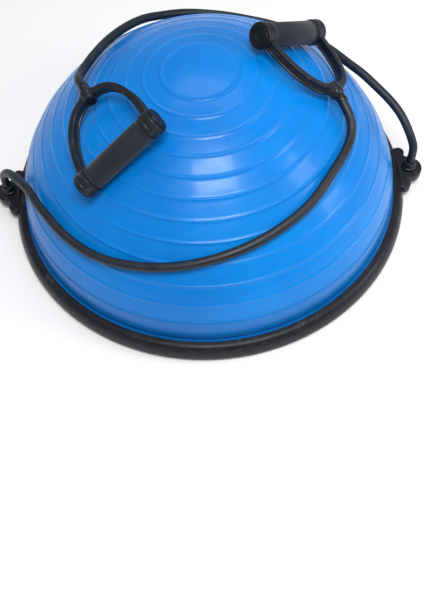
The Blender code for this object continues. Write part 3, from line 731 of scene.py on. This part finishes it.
def arm_band():
    section = arm_section()
    quarter = math.pi / 2
    line = [arm_point(-quarter + 2 * quarter * i / ARM_STEPS) for i in range(ARM_STEPS + 1)]
    count = len(section)
    points = []
    for index, place in enumerate(line):
        before = line[max(index - 1, 0)]
        after = line[min(index + 1, ARM_STEPS)]
        run = (after - before).normalized()
        if index in (0, ARM_STEPS):
            run = Vector((math.copysign(1.0, run.x), 0.0))
        out = Vector((-run.y, run.x))
        for across, depth in section:
            spot = place + out * across
            points.append((spot.x, spot.y, depth))
    faces = [list(range(count)), list(range(len(points) - 1, len(points) - count - 1, -1))]
    for step in range(ARM_STEPS):
        start = step * count
        for index in range(count):
            after = (index + 1) % count
            faces.append([start + after, start + index, start + count + index, start + count + after])
    return points, faces


def grip_ring(side):
    outline = (
        (0.0114, 0.0485), (0.0160, 0.0485), (0.0168, 0.0487), (0.0173, 0.0492), (0.0175, 0.0499),
        (0.0175, 0.0526), (0.0172, 0.0530), (0.0170, 0.0536), (0.0170, 0.0586), (0.0172, 0.0592),
        (0.0175, 0.0596), (0.0175, 0.0630), (0.0173, 0.0638), (0.0168, 0.0643), (0.0160, 0.0645),
        (0.0152, 0.0645), (0.0151, 0.0640), (0.0114, 0.0640),
    )
    lay = Matrix.Translation((GRIP_DISTANCE, 0.0, 0.0)) @ Matrix.Rotation(math.radians(-90 * side), 4, "X")
    return placed(lathe(outline, 64, True), lay)


def along_x(shape):
    return placed(shape, Matrix.Rotation(math.radians(90), 4, "Y"))


def hub_boss():
    outline = []
    for index in range(HUB_STEPS + 1):
        angle = math.radians(-90 + (90 + HUB_END_DEGREES) * index / HUB_STEPS)
        outline.append((HUB_BALL * math.cos(angle) if index else 0.0, HUB_BALL * math.sin(angle)))
    outline += [(0.0092, 0.0060), (0.0092, 0.0121), (0.0090, 0.0128), (0.0083, 0.0133), (0.0, 0.0134)]
    return along_x(lathe(outline, 64))


def hub_shoulders():
    # The thick part that widens from the hub's round end to the back of the bow.
    outline = [(x, -y) for x, y in SHOULDER_OUTLINE]
    outline.extend(reversed(SHOULDER_OUTLINE))
    return prism(outline, -SHOULDER_HALF_THICKNESS, SHOULDER_HALF_THICKNESS)


def make_handle(word):
    hub, reach, along, away = handle_frame(word)
    matrix = frame_matrix(reach, along, away, hub)
    yoke = smooth_mesh("handle_bow_" + word, *arm_band())
    shoulders = smooth_mesh("shoulders", *hub_shoulders())
    round_edges(shoulders, SHOULDER_EDGE, 3)
    rings = joined("rings", [grip_ring(1), grip_ring(-1)])
    hub_shape = smooth_mesh("hub", *hub_boss())
    for shape in (rings, hub_shape, shoulders):
        combine(yoke, shape, "UNION")
    mouth = circle((0.0, 0.0), HUB_POCKET_RADIUS, HUB_POCKET_SIDES)
    pocket = prism(mouth, HUB_POCKET_START, HUB_POCKET_END)
    cut(yoke, smooth_mesh("pocket", *along_x(pocket)))
    yoke.data.transform(matrix)
    yoke.data.shade_smooth()
    yoke.data.set_sharp_from_angle(angle=math.radians(SHARP_EDGE_DEGREES))
    show(yoke, "handle_plastic", word + "_handle", "handle_yoke_" + word)
    plug = (
        (0.0, 0.0053), (0.0040, 0.0053), (0.0052, 0.0070), (0.0056, 0.0090), (0.0055, 0.0102),
        (0.0050, 0.0112), (0.0041, 0.0120), (0.0030, 0.0125), (0.0015, 0.0128), (0.0, 0.0128),
    )
    lay = matrix @ Matrix.Rotation(math.radians(90), 4, "Y")
    show(turned("ball_plug_" + word, plug, 48, matrix=lay),
         "plug_plastic", word + "_handle", "hub_plug_" + word)
    cuff = (
        (0.0064, -0.0165), (0.0068, -0.0165), (0.0071, -0.0160), (0.0071, -0.0092), (0.0069, -0.0086),
        (0.0064, -0.0082),
    )
    show(turned("tube_cuff_" + word, cuff, 48, closed=True, matrix=lay), "collar_plastic", "base")
    grip = frame_matrix(away, reach, along, hub + reach * GRIP_DISTANCE)
    show(turned("grip_tube_" + word, sleeve_outline(), 96, closed=True, matrix=grip),
         "grip_foam", word + "_grip", "grip_sleeve_" + word)
    core = ((0.0070, -0.0642), (0.0110, -0.0642), (0.0110, 0.0642), (0.0070, 0.0642))
    show(turned("grip_axle_" + word, core, 64, closed=True, matrix=grip),
         "collar_plastic", word + "_grip", "grip_core_" + word)
    cap = (
        (0.0, 0.0560), (0.0066, 0.0560), (0.0066, 0.0648), (0.0150, 0.0648), (0.0150, 0.0664),
        (0.0147, 0.0671), (0.0140, 0.0675), (0.0126, 0.0675), (0.0122, 0.0668), (0.0040, 0.0666),
        (0.0036, 0.0662), (0.0, 0.0661),
    )
    flip = Matrix.Rotation(math.pi, 4, "X")
    for letter, place in (("a", grip), ("b", grip @ flip)):
        show(turned(f"end_cap_{word}_{letter}", cap, 64, matrix=place),
             "cap_plastic", word + "_grip", f"grip_cap_{word}_{letter}")


def sleeve_outline():
    # A foam sleeve with soft ends and one shallow ring next to each.
    outline = [
        (0.01135, -0.0480), (0.0146, -0.0480), (0.0154, -0.0476), (0.0159, -0.0468), (0.0160, -0.0458),
    ]
    for centre in (-0.0425, 0.0425):
        outline += [
            (0.0160, centre - 0.0010), (0.0156, centre - 0.0004), (0.0156, centre + 0.0004),
            (0.0160, centre + 0.0010),
        ]
    outline += [
        (0.0160, 0.0458), (0.0159, 0.0468), (0.0154, 0.0476), (0.0146, 0.0480), (0.01135, 0.0480),
    ]
    return outline


make_handle("left")
make_handle("right")


# ---------------------------------------------------------------- carried-over CAD pieces

for entry in frame["record"]["subparts"]:
    node = frame["nodes"][entry["node"]]
    node.data.materials.clear()
    node.data.materials.append(MATERIALS[entry["material_slot"]])


# ---------------------------------------------------------------- floor and lights


FLOOR_SIZE = 6.0
FLOOR_DROP = 0.5 * MM
ROOM_COLOUR = (0.95, 0.97, 1.0, 1.0)
ROOM_STRENGTH = 0.36


def make_floor():
    size = FLOOR_SIZE
    corners = [(-size, -size, 0.0), (size, -size, 0.0), (size, size, 0.0), (-size, size, 0.0)]
    floor = smooth_mesh("studio_floor", corners, [(0, 1, 2, 3)])
    floor.data.materials.append(floor_paint("pale_floor"))
    floor.location.z = -FLOOR_DROP


def soft_light(name, place, aim, width, height, power):
    light = bpy.data.lights.new(name, "AREA")
    light.shape = "RECTANGLE"
    light.size = width
    light.size_y = height
    light.energy = power
    lamp = bpy.data.objects.new(name, light)
    bpy.context.scene.collection.objects.link(lamp)
    lamp.location = place
    lamp.rotation_euler = (Vector(aim) - Vector(place)).to_track_quat("-Z", "Y").to_euler()


def make_world():
    world = bpy.data.worlds.new("pale_room")
    world.use_nodes = True
    shade = world.node_tree.nodes["Background"]
    shade.inputs["Color"].default_value = ROOM_COLOUR
    shade.inputs["Strength"].default_value = ROOM_STRENGTH
    bpy.context.scene.world = world


make_floor()
make_world()
soft_light("key_light", (0.15, -0.75, 1.95), (0.0, -0.05, 0.1), 0.8, 0.6, 29.0)
soft_light("fill_light", (1.4, -0.3, 0.9), (0.0, 0.0, 0.1), 0.4, 0.9, 7.0)
soft_light("top_light", (0.1, 0.9, 2.1), (0.0, 0.0, 0.1), 1.4, 0.8, 10.0)
